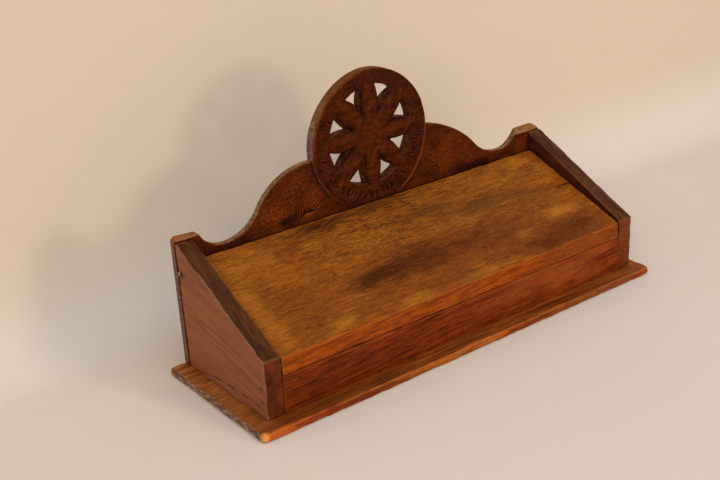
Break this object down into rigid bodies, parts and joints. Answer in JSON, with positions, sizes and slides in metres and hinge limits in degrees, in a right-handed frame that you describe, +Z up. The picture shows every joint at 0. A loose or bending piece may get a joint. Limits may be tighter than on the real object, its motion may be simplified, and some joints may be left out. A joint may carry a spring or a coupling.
{
  "type": "inkstand",
  "caption": "Sloping-lid wooden desk inkstand with a scrolled, carved back and a pierced rosette; pen trough, bay and glass inkwells inside.",
  "frame": {"origin": "middle of the base board's underside, on the surface that the inkstand stands on", "axes": "+X along the box to the writer's right, +Y from the front towards the carved back, +Z up"},
  "size_m": [0.2858, 0.0934, 0.144],
  "materials": {
    "box_wood": "worn, waxed, dark red-brown wood",
    "carved_wood": "hand-carved, waxed, dark red-brown wood",
    "lid_wood": "worn, waxed, golden-brown wood with dark grain",
    "inner_wood": "plain unfinished wood",
    "iron": "dull dark iron",
    "well_glass": "clear, slightly green glass",
    "stopper_wood": "turned, polished wood"
  },
  "bodies": {
    "box": {"base_board": "box_wood", "left_end": "box_wood", "right_end": "box_wood", "carved_back": "carved_wood", "front_rail": "box_wood", "long_divider": "inner_wood", "left_divider": "inner_wood", "right_divider": "inner_wood", "left_inkwell": "well_glass", "right_inkwell": "well_glass", "left_stopper": "stopper_wood", "right_stopper": "stopper_wood", "back_nails": "iron", "skew_nails": "iron", "rail_nails": "iron", "base_nails": "iron"},
    "lid": {"lid": "lid_wood", "lid_pins": "iron"}
  },
  "joints": [
    {"name": "lid_hinge", "type": "hinge", "parent": "box", "child": "lid", "pos_m": [0.00135, 0.0315, 0.05773], "axis": [-1, 0, 0], "range_deg": [0, 113.6]}
  ]
}
